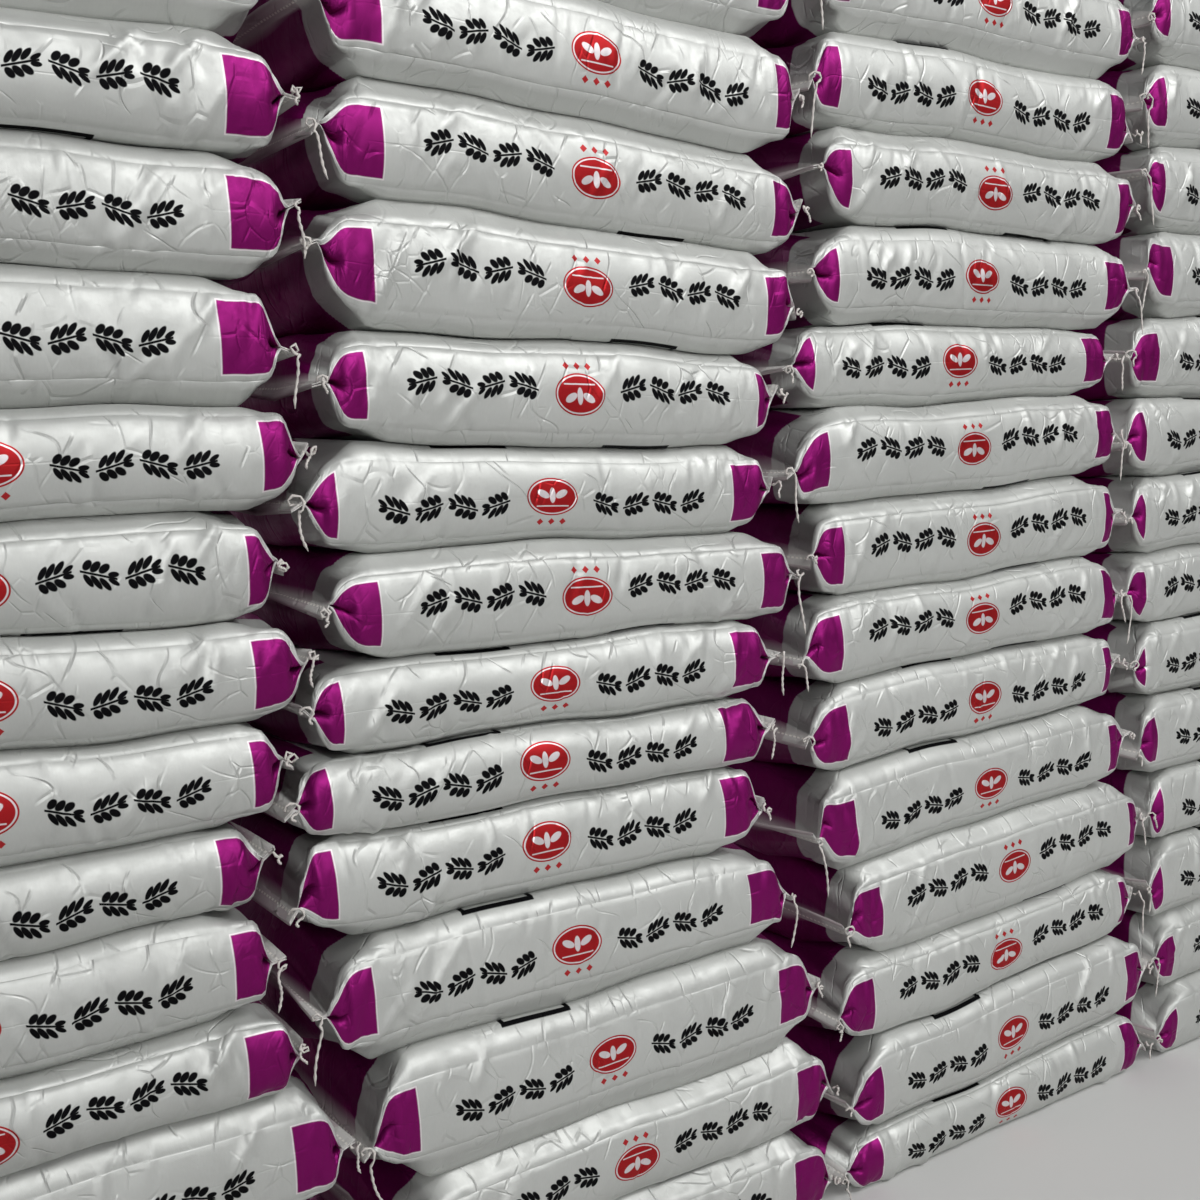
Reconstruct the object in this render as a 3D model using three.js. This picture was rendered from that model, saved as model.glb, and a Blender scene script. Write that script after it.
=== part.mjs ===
// Stack of filled side-gusseted sacks, four columns side by side, fourteen layers high.
// Units mm, +Z up, +X along the row, front of the stack towards -Y.
import * as THREE from "three";

// Overall sizes
const DEPTH = 430;
const PITCH = 754.4;
const HALF = 377;
const GAP = 0.3;

// Hem and end shape, measured from the tip inwards
const HEM_WIDTH = 18;
const HEM_THICK = 6;
const HEM_INSET = 8;
const LIPS = [
  { from: 30, rise: 0.54, tuck: 32, inset: 4 },
  { from: 46, rise: 0.78, tuck: 20, inset: 2 },
  { from: 66, rise: 0.94, tuck: 8, inset: 0 },
];
const TUCK_ROOT = 34;
const BODY_START = 92;

// Cross-section of the filled part
const SHOULDER = 42;
const CREASE_NEAR = { in: 14, down: 0.08 };
const CREASE_FAR = { in: 8, down: 0.18 };
const CREASE_FLAT = { in: 0, down: 0.15 };
const CROWN = 9;

// Stations shared by every sack of one column, measured from the column line
const KNOTS = [-170, 0, 170];

// One row for each sack, from the floor up: height at the column line, tilt of its top in
// percent, how far the left and right ends stand off their usual place, height of the left and
// right hem as a share of the sack's own, how far it stands forward, and 1 where it is turned
// upside down
const COLUMN_1 = [
  [142, -0.5, -3, 17.5, 0.36, 0.36, 0, 0],
  [142, -1.5, -3, 13, 0.5, 0.55, 4, 0],
  [170, -2, 2, 9, 0.5, 0.5, -3, 0],
  [106, -2.5, -48, -39, 0.55, 0.5, 5, 1],
  [136, -3, -53, -61, 0.45, 0.5, 0, 0],
  [98, -3.5, -58, -59, 0.5, 0.6, -5, 0],
  [125, -4.5, -13, -29, 0.55, 0.65, 3, 0],
  [121, -4.5, -3, 4, 0.5, 0.55, 6, 0],
  [124, -4, 2, -16, 0.45, 0.55, -2, 1],
  [122, -4.5, 27, 19, 0.55, 0.5, 4, 0],
  [144, -4, -8, 8, 0.5, 0.45, -4, 0],
  [140, -4.5, 12, 28, 0.5, 0.55, 2, 0],
  [126, -5, 17, 33, 0.45, 0.5, 5, 1],
  [142, -4.5, 12, 26, 0.5, 0.5, 0, 0],
];
const COLUMN_2 = [
  [135, 1, 17.5, 40, 0.38, 0.36, 3, 1],
  [138, 1, 37, 46, 0.5, 0.45, -3, 1],
  [178, 0, 11, 18, 0.45, 0.5, 4, 0],
  [158, -3, -36, -27, 0.5, 0.5, 0, 0],
  [126, -3.5, -59, -67, 0.4, 0.45, -5, 0],
  [97, -3.5, -56, -57, 0.5, 0.55, 5, 0],
  [116, -3.5, -26, -42, 0.5, 0.5, 0, 0],
  [128, -5, 6, 1, 0.55, 0.5, 4, 1],
  [126, -7, -14, -32, 0.45, 0.5, -6, 0],
  [132, -7.5, 21, -24, 0.5, 0.55, 2, 1],
  [148, -9.5, 22, 14, 0.6, 0.5, 5, 1],
  [142, -10.5, 37, 36, 0.5, 0.45, -3, 1],
  [150, -10.5, 42, 31, 0.45, 0.5, 3, 0],
  [142, -10, 29, 36, 0.5, 0.5, -2, 0],
];
const COLUMN_3 = [
  [98, 4, 40, 45, 0.59, 0.44, 0, 0],
  [152, 4.5, 49, 41, 0.45, 0.5, 5, 0],
  [132, 3.5, 37, 16, 0.5, 0.5, -4, 1],
  [157, 3.5, 52, 29, 0.4, 0.5, 3, 1],
  [151, 2.5, 2, -9, 0.4, 0.55, 0, 0],
  [134, 1, -8, -26, 0.5, 0.5, -5, 0],
  [128, 1, -18, -31, 0.4, 0.45, 4, 1],
  [136, 0.5, 4, -31, 0.5, 0.5, 0, 1],
  [137, -0.5, -28, -39, 0.4, 0.5, 6, 1],
  [118, -2.5, -21, -42, 0.5, 0.5, -4, 0],
  [143, -4.5, 16, 4, 0.5, 0.45, 2, 0],
  [134, -5, 39, 11, 0.5, 0.5, 5, 1],
  [130, -5, 34, 9, 0.4, 0.4, -3, 0],
  [146, -5, 39, 21, 0.5, 0.5, 0, 0],
];
const COLUMN_4 = [
  [130, 1, 45, 48, 0.39, 0.38, 0, 1],
  [148, 2, 44, 43, 0.5, 0.5, -4, 1],
  [142, 2, 19, -2, 0.5, 0.45, 5, 0],
  [118, 1, 31, 8, 0.5, 0.55, -2, 0],
  [144, 0.5, -6, -17, 0.45, 0.5, 3, 0],
  [136, 0, -24, -42, 0.5, 0.5, 0, 0],
  [122, 0, -29, -42, 0.5, 0.5, -5, 1],
  [133, 0, -29, -52, 0.55, 0.45, 4, 0],
  [135, -1, -36, -47, 0.5, 0.5, 0, 0],
  [136, -1.5, -23, -7, 0.5, 0.55, -3, 0],
  [144, -2, 6, 18, 0.55, 0.5, 5, 0],
  [144, -2.5, 14, 3, 0.6, 0.5, 0, 0],
  [136, -2, 11, 13, 0.5, 0.45, -4, 0],
  [142, -2, 24, 13, 0.5, 0.5, 2, 0],
];
const COLUMNS = [COLUMN_1, COLUMN_2, COLUMN_3, COLUMN_4];

// One closed cross-section, front middle first, then over the top to the back and under
function section(x, shift, top, bottom, upper, lower, tuck, inset) {
  const height = top - bottom;
  const middle = (top + bottom) / 2;
  const front = -DEPTH / 2 + inset - shift;
  const back = DEPTH / 2 - inset - shift;
  return [
    [x, front + tuck, middle],
    [x, front + upper.in, top - upper.down * height],
    [x, front + SHOULDER, top],
    [x, back - SHOULDER, top],
    [x, back - upper.in, top - upper.down * height],
    [x, back - tuck, middle],
    [x, back - lower.in, bottom + lower.down * height],
    [x, back - SHOULDER, bottom],
    [x, front + SHOULDER, bottom],
    [x, front + lower.in, bottom + lower.down * height],
  ];
}

// Closed mesh from a row of equal cross-sections
function loft(sections) {
  const n = sections[0].length;
  const points = sections.flat();
  const index = [];
  for (let s = 0; s < sections.length - 1; s += 1) {
    for (let k = 0; k < n; k += 1) {
      const a = s * n + k;
      const b = s * n + ((k + 1) % n);
      const c = a + n;
      const d = b + n;
      index.push(a, d, b, a, c, d);
    }
  }
  const last = (sections.length - 1) * n;
  for (let k = 1; k < n - 1; k += 1) {
    index.push(0, k, k + 1);
    index.push(last, last + k + 1, last + k);
  }
  const geometry = new THREE.BufferGeometry();
  geometry.setAttribute("position", new THREE.Float32BufferAttribute(points.flat(), 3));
  geometry.setIndex(index);
  return geometry;
}

// One sack: flat sewn hem, closing lips, and a filled body that rests on the layer below.
// low and high give its underside and top at a place along the row.
function sack({ line, left, right, low, high, hemLeft, hemRight, shift, turned }) {
  const upper = turned ? CREASE_FAR : CREASE_NEAR;
  const lower = turned ? CREASE_NEAR : CREASE_FAR;
  const hemLevel = (x, hem) => low(x) + hem * (high(x) - low(x));
  const closed = (x, hem, tuck) => {
    const level = hemLevel(x, hem);
    const top = level + HEM_THICK / 2;
    const bottom = level - HEM_THICK / 2;
    return section(x, shift, top, bottom, CREASE_FLAT, CREASE_FLAT, tuck, HEM_INSET);
  };
  const filled = (x, hem, lip) => {
    const level = hemLevel(x, hem);
    const top = level + lip.rise * (high(x) - level);
    const bottom = level - lip.rise * (level - low(x));
    return section(x, shift, top, bottom, upper, lower, lip.tuck, lip.inset);
  };
  const full = { rise: 1, tuck: 0, inset: 0 };
  const rows = [closed(left, hemLeft, 0), closed(left + HEM_WIDTH, hemLeft, TUCK_ROOT)];
  for (const lip of LIPS) {
    rows.push(filled(left + lip.from, hemLeft, lip));
  }
  rows.push(filled(left + BODY_START, hemLeft, full));
  for (const knot of KNOTS) {
    rows.push(filled(line + knot, hemLeft, full));
  }
  rows.push(filled(right - BODY_START, hemRight, full));
  for (const lip of [...LIPS].reverse()) {
    rows.push(filled(right - lip.from, hemRight, lip));
  }
  rows.push(closed(right - HEM_WIDTH, hemRight, TUCK_ROOT), closed(right, hemRight, 0));
  return loft(rows);
}

function build() {
  const group = new THREE.Group();
  const film = new THREE.MeshStandardMaterial({ color: 0xc9c8c5, roughness: 0.45, metalness: 0.1 });
  COLUMNS.forEach((column, c) => {
    const line = (c - 1.5) * PITCH;
    let level = 0;
    let tiltBelow = 0;
    column.forEach(([height, tilt, offLeft, offRight, hemLeft, hemRight, shift, turned], i) => {
      const onFloor = i === 0;
      const onTop = i === column.length - 1;
      const left = line - HALF + offLeft;
      const right = line + HALF + offRight;
      const underside = level + (onFloor ? 0 : GAP / 2);
      const topside = level + height - GAP / 2;
      const slopeBelow = tiltBelow / 100;
      const slopeAbove = tilt / 100;
      const middle = (left + right) / 2;
      const reach = (right - left) / 2 - BODY_START;
      const crown = (x) => (onTop ? CROWN * Math.max(0, 1 - ((x - middle) / reach) ** 2) : 0);
      const low = (x) => underside + slopeBelow * (x - line);
      const high = (x) => topside + slopeAbove * (x - line) + crown(x);
      const geometry = sack({ line, left, right, low, high, hemLeft, hemRight, shift, turned });
      const mesh = new THREE.Mesh(geometry, film);
      mesh.name = `sack_c${c + 1}_${String(i + 1).padStart(2, "0")}`;
      group.add(mesh);
      level += height;
      tiltBelow = tilt;
    });
  });
  const box = new THREE.Box3().setFromObject(group);
  group.position.set(-(box.min.x + box.max.x) / 2, -(box.min.y + box.max.y) / 2, -box.min.z);
  group.updateMatrixWorld(true);
  return group;
}

export default build();
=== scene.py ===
import math

import bpy
import numpy as np
from mathutils import Matrix, Vector


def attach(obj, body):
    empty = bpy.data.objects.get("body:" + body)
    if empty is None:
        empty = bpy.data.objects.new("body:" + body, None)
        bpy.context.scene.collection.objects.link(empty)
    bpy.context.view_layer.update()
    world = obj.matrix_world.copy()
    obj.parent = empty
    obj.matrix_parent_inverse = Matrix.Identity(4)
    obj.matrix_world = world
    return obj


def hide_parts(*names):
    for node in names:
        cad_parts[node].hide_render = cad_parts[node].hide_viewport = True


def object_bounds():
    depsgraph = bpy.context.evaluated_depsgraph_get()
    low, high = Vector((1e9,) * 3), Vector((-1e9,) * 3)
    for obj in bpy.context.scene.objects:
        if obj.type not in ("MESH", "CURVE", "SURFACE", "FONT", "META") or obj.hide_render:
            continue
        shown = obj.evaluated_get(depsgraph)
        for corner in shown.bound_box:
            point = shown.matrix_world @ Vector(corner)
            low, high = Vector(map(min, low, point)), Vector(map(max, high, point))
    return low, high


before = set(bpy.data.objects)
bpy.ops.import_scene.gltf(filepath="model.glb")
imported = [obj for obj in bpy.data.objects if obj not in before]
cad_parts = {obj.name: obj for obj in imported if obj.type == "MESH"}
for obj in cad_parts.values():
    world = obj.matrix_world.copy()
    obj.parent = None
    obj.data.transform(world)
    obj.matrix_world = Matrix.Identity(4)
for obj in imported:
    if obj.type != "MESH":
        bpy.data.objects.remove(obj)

CAD_BOX = [list(corner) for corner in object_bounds()]
SACK_SEED = 1000
THREAD_SEED = 5000
FULL_TURN = 2 * math.pi
COLUMNS = 4
LAYERS = 14
# Sacks laid upside down, from the floor up, one word for each column
TURNED = ("00010000100010", "11000001011100", "00110011100100", "11000010000000")
# Middle of the print against the column line, in mm, from the floor up
PRINT_CENTRES = (
    (5, 5, 10, -40, -45, -50, -5, 5, 10, 35, 0, 20, 25, 20),
    (30, 45, 10, -36, -72, -74, -50, 5, -36, 8, 27, 52, 58, 35),
    (50, 50, 45, 60, 10, 4, -10, 0, -27, -43, 3, 30, 18, 40),
    (40, 35, -10, 0, -25, -50, -50, -60, -55, -15, 10, -5, 5, 5),
)
# How far the middle of the print lies above the middle of the height, in mm
PRINT_RISES = (
    (6, 2, 5, -4, 4, 0, 3, -3, -6, 2, 4, 0, -8, 3),
    (-6, -8, 8, 8, 10, 6, 3, -6, -5, 0, -6, -10, -3, 2),
    (2, 3, -2, 3, -3, -3, 2, -6, -2, 4, 0, -10, -4, 2),
    (-8, -6, 4, 0, 3, -2, -8, 2, 4, 0, 3, -3, 2, 4),
)

# Camera

SENSOR_WIDTH = 36
LENS = 45
CLIP = (0.02, 60)
RIGHT = (0.83172158, -0.55315865, -0.04748391)
DOWN = (-0.11476537, -0.08761772, -0.98952112)
FORWARD = (0.54320173, 0.82845558, -0.13635701)
# From the line of the second column, the middle of the depth and the floor
CAMERA_PLACE = (-1.0462, -1.8485, 1.2657)


def add_camera(column_line):
    data = bpy.data.cameras.new("camera")
    data.sensor_width = SENSOR_WIDTH
    data.lens = LENS
    data.clip_start, data.clip_end = CLIP
    camera = bpy.data.objects.new("camera", data)
    bpy.context.scene.collection.objects.link(camera)
    turn = Matrix((RIGHT, [-d for d in DOWN], [-f for f in FORWARD])).transposed()
    place = Vector(CAMERA_PLACE) + Vector((column_line, 0, 0))
    camera.matrix_world = Matrix.Translation(place) @ turn.to_4x4()
    bpy.context.scene.camera = camera


# Sack shape, in metres

# Sewn strip beyond the seam, and half its thickness
HEM = 0.018
HEM_HALF = 0.0026
# Columns of the grid: the sewn strip, the fine part near each end, and the middle
HEM_STEPS = 3
END_FINE = 0.098
FINE_STEPS = 19
MIDDLE_STEPS = 103
# Rounded front and back: how far the panels' edges stand back, and how square the curve is
FRONT_BACK_SET = 0.036
ROUNDNESS = 2.05
ARC_POWER = 2 / ROUNDNESS
ARC_STEPS = 801
# Rows of the cross-section
GUSSET = 0.1
GUSSET_STEPS = 8
EDGE_STEPS = 4
STRIP_PARTS = (0.35, 0.85, 1.0)
EDGE_ROW = 0.0018
CREASE_CLEAR = 0.012
PRINT_CLEAR = 0.008
FLAT_STEPS_TOP = 10
FLAT_STEPS_OUTER = 6
FLAT_STEPS_INNER = 3
# Sections of a CAD solid: the ones that close each end, and the least step between two
CLOSING_SECTIONS = 5
SECTION_STEP = 0.001
# Unevenness of the resting surfaces: length and height of each wave, most slant and most tilt
SURFACE_WAVES = ((0.55, 0.0026), (0.31, 0.0016), (0.17, 0.0008))
SURFACE_SLANT = 0.6
SURFACE_TILT = 0.012
# Ranges that each end of each sack draws from
CORNER_REACH = (0.012, 0.024)
CORNER_MORE_LEFT = 0.022
CORNER_SHARPNESS = (2.2, 8)
BULGE_REACH = (0.026, 0.042)
BULGE_BLUNTNESS = (0.7, 1.0)
PANEL_LIFT_RUN = (0.03, 0.075)
END_INSET = (0.001, 0.006)
MOUTH_SHORT_OF_CORNER = (-0.004, 0.006)
FLOP_ANGLE = (0.5, 1.2)
# Width over which a panel's edge gives way to its middle, and set-back of the closed end
PANEL_EDGE_WIDTH = 0.07
CLOSED_BACK_SET = 0.006
# Gusset in the mouth: length over which it sets in, how much of it follows the lips, how much
# of its width tucks in, and the least that it turns in
MOUTH_FADE = 0.012
LIP_RUN = 0.75
TUCK_SHARE = 0.93
LEAST_TURN_IN = 0.12
# Wave along the sewn strip: angle and length
FLOP_WAVE = 0.45
FLOP_WAVE_LENGTH = 0.31


def body_lines(node):
    """Tips, hem levels, top and bottom curves and depth of a sack, read from its CAD node."""
    co = np.array([v.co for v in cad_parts[node].data.vertices])
    order = np.argsort(co[:, 0])
    co = co[order]
    cuts = np.flatnonzero(np.diff(co[:, 0]) > SECTION_STEP) + 1
    sections = np.split(co, cuts)
    ends = sections[0], sections[-1]
    full = sections[CLOSING_SECTIONS:-CLOSING_SECTIONS]
    xs = [section[:, 0].mean() for section in full]
    top = np.polyfit(xs, [section[:, 2].max() for section in full], 2)
    low = np.polyfit(xs, [section[:, 2].min() for section in full], 2)
    middle = full[len(full) // 2]
    return {
        "line": middle[:, 0].mean(),
        "left": ends[0][:, 0].mean(),
        "right": ends[1][:, 0].mean(),
        "hems": [section[:, 2].mean() for section in ends],
        "top": top,
        "low": low,
        "front": middle[:, 1].min(),
        "back": middle[:, 1].max(),
    }


def waves(seed, x, y):
    """Gentle unevenness of one resting surface, the same for the sack below and the one above."""
    rng = np.random.default_rng(seed)
    total = np.zeros_like(x + y)
    for length, height in SURFACE_WAVES:
        phase, _ = rng.uniform(0, FULL_TURN, 2)
        slant = rng.uniform(-SURFACE_SLANT, SURFACE_SLANT)
        total = total + height * np.sin(FULL_TURN * (x + slant * y) / length + phase)
    return total + rng.uniform(-SURFACE_TILT, SURFACE_TILT) * y


def arc_table(height):
    """Angle along the rounded front against the length of cloth from the bottom contact up."""
    angle = np.linspace(-math.pi / 2, math.pi / 2, ARC_STEPS)
    z = np.sign(np.sin(angle)) * np.abs(np.sin(angle)) ** ARC_POWER * height / 2
    y = FRONT_BACK_SET * (1 - np.abs(np.cos(angle)) ** ARC_POWER)
    length = np.concatenate([[0], np.cumsum(np.hypot(np.diff(z), np.diff(y)))])
    return angle, length


def on_arc(angle):
    """How far up or down, and how far back, the rounded front lies at an angle, as shares."""
    share = math.copysign(abs(math.sin(angle)) ** ARC_POWER, angle)
    back = 1 - abs(math.cos(angle)) ** ARC_POWER
    return share, back


def row_layout(height, rise, turned, flat_steps):
    """Rows of the closed cross-section, from the middle of the front gusset up and round.

    For each row: its side; how far it lies from the middle towards the top or bottom contact;
    how far back from the front or back face, or across a panel; how much it belongs to the
    panel; and its cloth coordinate."""
    angle, length = arc_table(height)
    total = length[-1]
    half = min(GUSSET / 2, total / 2 - CREASE_CLEAR)
    room = total / 2 - half - PRINT_CLEAR
    centre = total / 2 + min(max(rise, -room), room)
    rows = []

    def gusset(side, steps, sign):
        for step in steps:
            along = centre + sign * half * step
            share, back = on_arc(np.interp(along, length, angle))
            rows.append((side, share, back, 0.0, along - centre))

    def strip(side, sign, outward):
        """Strip of panel between the fold line and the contact, flat where the fold is strong."""
        crease = centre + sign * half
        wide = total - crease if sign > 0 else crease
        share, back = on_arc(np.interp(crease, length, angle))
        flatness = 1.0 if (sign > 0) == turned else 0.0
        parts = (EDGE_ROW / wide, *STRIP_PARTS)
        for part in parts if outward else parts[::-1]:
            arc_angle = np.interp(crease + sign * wide * part, length, angle)
            round_share, round_back = on_arc(arc_angle)
            flat_share = share + (sign - share) * part
            flat_back = back + (1 - back) * part
            at = round_share + (flat_share - round_share) * flatness
            behind = round_back + (flat_back - round_back) * flatness
            rows.append((side, at, behind, part, sign * (half + wide * part)))

    # the last row of the gusset stands close to the crease, so that its fold line stays sharp
    steps = np.append(np.linspace(0, 1 - EDGE_ROW / half, GUSSET_STEPS), 1)
    flat = np.linspace(0, 1, flat_steps + 1)[1:-1]
    gusset("front", steps, 1)
    strip("front", 1, True)
    rows.extend(("top", 1.0, part, 1.0, 0.0) for part in flat)
    strip("back", 1, False)
    gusset("back", steps[::-1], 1)
    gusset("back", steps[1:], -1)
    strip("back", -1, True)
    rows.extend(("low", -1.0, part, 1.0, 0.0) for part in flat[::-1])
    strip("front", -1, False)
    gusset("front", steps[:0:-1], -1)
    panel = 2 * EDGE_STEPS + flat_steps
    creases = (
        GUSSET_STEPS,
        GUSSET_STEPS + panel,
        3 * GUSSET_STEPS + panel,
        3 * GUSSET_STEPS + 2 * panel,
    )
    kinds, share, back, on_panel, cloth = (np.array(part) for part in zip(*rows))
    return kinds, share, back, on_panel, cloth, half, creases


def end_profile(depth, reach, blunt):
    """Share of the full height at a distance from the tip: pointed, or round where blunt is 1."""
    s = np.clip((depth - HEM) / reach, 0, 1)
    circle = np.sqrt(np.clip(1 - (1 - s) ** 2, 0, 1))
    return blunt * circle + (1 - blunt) * np.sin(s * math.pi / 2)


def sack_core(line, column, layer, turned, flat_steps, rng):
    """The filled shape that the cloth lies on: its points, cloth coordinates and surroundings."""
    left, right = line["left"], line["right"]
    fine = np.linspace(HEM, END_FINE, FINE_STEPS + 1)
    start = np.concatenate([np.linspace(0, HEM, HEM_STEPS + 1)[:-1], fine])
    middle = np.linspace(left + END_FINE, right - END_FINE, MIDDLE_STEPS + 1)[1:-1]
    x = np.concatenate([left + start, middle, right - start[::-1]])
    mid_x = (left + right) / 2
    height = np.polyval(line["top"], mid_x) - np.polyval(line["low"], mid_x)
    print_rise = PRINT_RISES[column][layer] / 1000
    kinds, share, back_share, on_panel, cloth, half, creases = row_layout(
        height, print_rise, turned, flat_steps
    )
    x = x[:, None] + np.zeros(len(kinds))
    near = np.minimum(x - left, right - x)
    is_left = x < mid_x

    def by_end(low, high):
        """A random number for the left end and another for the right end."""
        return np.where(is_left, rng.uniform(low, high), rng.uniform(low, high))

    def lip_line():
        """A fold line runs straight to a corner and from there in a V to the seam."""
        corner = by_end(*CORNER_REACH) + np.where(is_left, CORNER_MORE_LEFT * rng.random(), 0)
        s = np.clip((near - HEM) / corner, 0, 4)
        sharp = by_end(*CORNER_SHARPNESS)
        return corner, s / (1 + s**sharp) ** (1 / sharp)

    corner_up, lip_up = lip_line()
    corner_down, lip_down = lip_line()
    # the edges of a panel lift off its neighbour before the corner; its middle ends round
    width = line["back"] - line["front"] - 2 * FRONT_BACK_SET
    inner = np.clip(np.minimum(back_share, 1 - back_share) * width / PANEL_EDGE_WIDTH, 0, 1)
    inner = inner * np.isin(kinds, ("top", "low"))
    bulge = end_profile(near, by_end(*BULGE_REACH), by_end(*BULGE_BLUNTNESS))

    def panel(corner, lip, crease_share):
        lift = np.clip((near - HEM - corner) / by_end(*PANEL_LIFT_RUN), 0, 1)
        lift = lift * lift * (3 - 2 * lift)
        edge = lip * (crease_share + (1 - crease_share) * lift)
        return edge + (np.maximum(bulge, edge) - edge) * inner

    panel_up = panel(corner_up, lip_up, abs(share[creases[0]]))
    panel_down = panel(corner_down, lip_down, abs(share[creases[3]]))
    rise_up = lip_up + (panel_up - lip_up) * on_panel
    rise_down = lip_down + (panel_down - lip_down) * on_panel
    lip = lip_down + (lip_up - lip_down) * (1 + share) / 2
    rise = (rise_up + rise_down) / 2
    inset = by_end(*END_INSET) * (1 - rise)
    back_set = FRONT_BACK_SET * rise + CLOSED_BACK_SET * (1 - rise)
    front = line["front"] + inset
    back = line["back"] - inset
    on_front, on_back = kinds == "front", kinds == "back"
    y_flat = (front + back_set) + (back - front - 2 * back_set) * back_share
    y = np.where(on_front, front + back_set * back_share, y_flat)
    y = np.where(on_back, back - back_set * back_share, y)
    top = np.polyval(line["top"], x) + waves(column * 100 + layer + 1, x, y)
    low = np.polyval(line["low"], x)
    if layer > 0:
        low = low + waves(column * 100 + layer, x, y)
    hem = np.where(is_left, line["hems"][0], line["hems"][1])
    full_mid = (top + low) / 2
    level = hem * (1 - rise) + full_mid * rise
    upper = np.maximum(level + rise_up * (top - full_mid), hem + HEM_HALF)
    lower = np.minimum(level - rise_down * (full_mid - low), hem - HEM_HALF)
    z = (upper + lower) / 2 + share * (upper - lower) / 2
    # as the lips close, the gusset runs along them and then turns in between them
    in_gusset = (on_panel == 0) & (on_front | on_back)
    s = np.where(in_gusset, np.abs(cloth) / half, 0)
    fold_at = HEM + (corner_up + corner_down) / 2 - by_end(*MOUTH_SHORT_OF_CORNER)
    begin = np.clip((fold_at + MOUTH_FADE / 2 - near) / MOUTH_FADE, 0, 1)
    up = cloth > 0
    front_crease = np.where(up, creases[0], creases[3])
    back_crease = np.where(up, creases[1], creases[2])
    crease_row = np.where(on_front, front_crease, back_crease)
    roots = (0, creases[1] + GUSSET_STEPS)
    root_z = z[:, np.where(on_back, roots[1], roots[0])]
    opening = np.abs(z[:, crease_row] - root_z)
    from_crease = (1 - s) * half
    turned_in = np.maximum(opening - from_crease, LEAST_TURN_IN * opening * s)
    along_lips = root_z + np.where(up, 1, -1) * turned_in
    in_mouth = begin * in_gusset
    z = z + (along_lips - z) * LIP_RUN * in_mouth
    straight = half * TUCK_SHARE * np.sqrt(np.clip(1 - lip**2, 0, 1)) * (1 - s)
    bent = TUCK_SHARE * np.clip(from_crease - opening, 0, None)
    tuck = (straight + (bent - straight) * LIP_RUN) * in_mouth
    y = y + np.where(on_front, tuck, np.where(on_back, -tuck, 0))
    # the sewn strip beyond the seam flops up or down
    strip = np.clip(HEM - near, 0, None)
    flop = by_end(*FLOP_ANGLE) * np.sign(by_end(-1, 1))
    phase = y * 2 * math.pi / FLOP_WAVE_LENGTH + by_end(0, 6.28)
    flop = flop + FLOP_WAVE * np.sin(phase)
    outward = np.where(is_left, -1, 1)
    x = x - outward * strip * (1 - np.cos(flop))
    z = z + strip * np.sin(flop)
    strong_rows = creases[:2] if turned else creases[2:]
    return {
        "points": np.stack([x, y, z], -1),
        "kinds": kinds,
        "cloth": cloth,
        "in_gusset": in_gusset,
        "near": near,
        "top": top,
        "low": low,
        "creases": creases,
        "strong": strong_rows,
        "roots": roots,
        "mouth": near[:, 0] < fold_at[:, 0],
    }


# Creases, dents and cloth

# Height of the fold lines, and valleys in the first and second row beside a strong one
RIDGE_STRONG = 0.0009
RIDGE_FAINT = 0.0004
VALLEYS = (0.0005, 0.0012)
RIDGE_UNEVEN = 0.35
RIDGE_PIECE = 0.02
# How far out of the end the cloth is loose, and where its hold on the seam begins
END_LOOSE = 0.08
SEAM_HOLD = 0.012
# Folds on one gusset: how many, and where and how big each may be
FOLD_FROM_TIP = 0.03
FOLD_WIDTH = (0.0035, 0.006)
SMALL_FOLDS = 14
SMALL_REACH = (0.008, 0.024)
SMALL_HEIGHT = (0.0006, 0.002)
SMALL_SLANT = 0.6
SMALL_OUTWARD = 0.6
SMALL_INWARD_DEPTH = -0.8
PUCKERS = 9
PUCKER_FROM_TIP = 0.05
PUCKER_REACH = (0.02, 0.05)
PUCKER_HEIGHT = (0.0012, 0.003)
PUCKER_SLANT = 0.5
PUCKER_INWARD = 0.7
V_FOLDS = (3, 7)
V_FROM_TIP = (0.085, 0.2)
V_OFF_MIDDLE = (0.005, 0.045)
V_REACH = (0.016, 0.036)
V_WIDTH = (0.005, 0.009)
V_SLANT = (0.2, 1.1)
V_HEIGHT = (-0.007, -0.0025)
V_AT_LEFT = 0.55
# Second leg of a V: how many have one, how far off, and its reach, slant and height
V_PAIRED = 0.6
V_PAIR_OFF = 0.006
V_PAIR_SHARES = (0.8, -0.6, -0.6)
SLACK_WIDTH = 0.012
DENTS = 6
DENT_FROM_TIP = 0.05
DENT_RADIUS = (0.025, 0.07)
DENT_HEIGHT = (-0.0034, 0.003)
# Pleats and crumple at the seam
PLEATS = 5
PLEAT_SKEW = 0.5
PLEAT_LEVEL = 0.6
PLEAT_LENGTH = (0.018, 0.06)
PLEAT_HEIGHT = 0.0009
CRUMPLE_HEIGHT = 0.0028
# Distance limits of the cloth: extra length in each direction, and more where it is slack
STRETCH = {"along": 1.004, "round": 1.002, "cross": 1.002, "bend": 0.96}
SLACK_STRETCH = 0.022
END_STRETCH = 0.012
STIFFNESS = {"along": 0.9, "round": 0.9, "cross": 0.35, "bend": 0.2}
SIDEWAYS_KEPT = 0.985
# How far the cloth may stand off its filling: gusset, strips, panels, top of the stack, ends
HIGH_GUSSET = 0.004
HIGH_STRIP = 0.0012
HIGH_PANEL = 0.0006
HIGH_TOP = 0.005
HIGH_END = 0.004
DEEP_FACE = -0.002
DEEP_PANEL = -0.003
DEEP_END = 0.008
CONTACT_CLEAR = 0.00015
ITERATIONS = 160


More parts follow.
